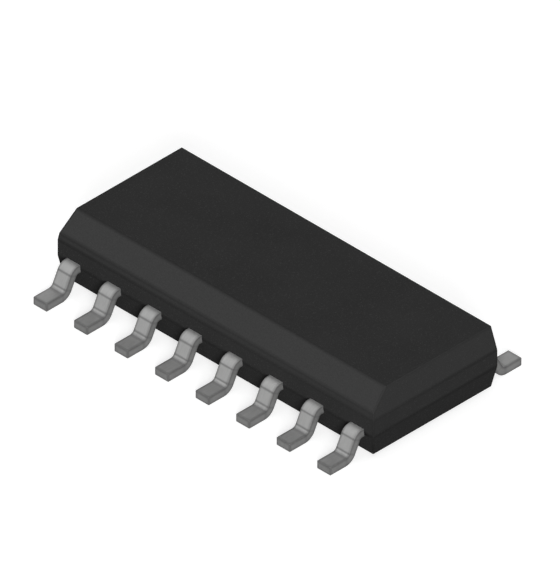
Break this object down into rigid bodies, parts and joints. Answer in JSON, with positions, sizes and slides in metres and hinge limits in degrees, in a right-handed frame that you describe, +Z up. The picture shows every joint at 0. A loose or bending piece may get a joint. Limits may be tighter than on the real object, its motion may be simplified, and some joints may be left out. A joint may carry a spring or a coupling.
{
  "type": "small outline integrated circuit",
  "caption": "Moulded small-outline integrated circuit with gull-wing leads along both long sides, for soldering flat on a circuit board.",
  "frame": {"origin": "centre of the lead footprint, on the seating plane that the sixteen feet stand on", "axes": "+X along the package, from the lead 1 end; +Z up from the board; the long chamfer and leads 1 to 8 face -Y"},
  "size_m": [0.0098, 0.006, 0.0018],
  "materials": {
    "moulding_compound": "matt black moulded epoxy",
    "tinned_lead": "satin matt-tin plating on copper alloy",
    "copper_alloy": "bare stamped copper alloy",
    "silver_adhesive": "cured silver-filled adhesive",
    "silicon": "polished silicon",
    "gold_wire": "bright gold wire"
  },
  "bodies": {
    "root": {"body": "moulding_compound", "lead_01": "tinned_lead", "lead_02": "tinned_lead", "lead_03": "tinned_lead", "lead_04": "tinned_lead", "lead_05": "tinned_lead", "lead_06": "tinned_lead", "lead_07": "tinned_lead", "lead_08": "tinned_lead", "lead_09": "tinned_lead", "lead_10": "tinned_lead", "lead_11": "tinned_lead", "lead_12": "tinned_lead", "lead_13": "tinned_lead", "lead_14": "tinned_lead", "lead_15": "tinned_lead", "lead_16": "tinned_lead", "die_pad": "copper_alloy", "die_attach": "silver_adhesive", "die": "silicon", "bond_wire_01": "gold_wire", "bond_wire_02": "gold_wire", "bond_wire_03": "gold_wire", "bond_wire_04": "gold_wire", "bond_wire_05": "gold_wire", "bond_wire_06": "gold_wire", "bond_wire_07": "gold_wire", "bond_wire_08": "gold_wire", "bond_wire_09": "gold_wire", "bond_wire_10": "gold_wire", "bond_wire_11": "gold_wire", "bond_wire_12": "gold_wire", "bond_wire_13": "gold_wire", "bond_wire_14": "gold_wire", "bond_wire_15": "gold_wire", "bond_wire_16": "gold_wire"}
  },
  "joints": []
}
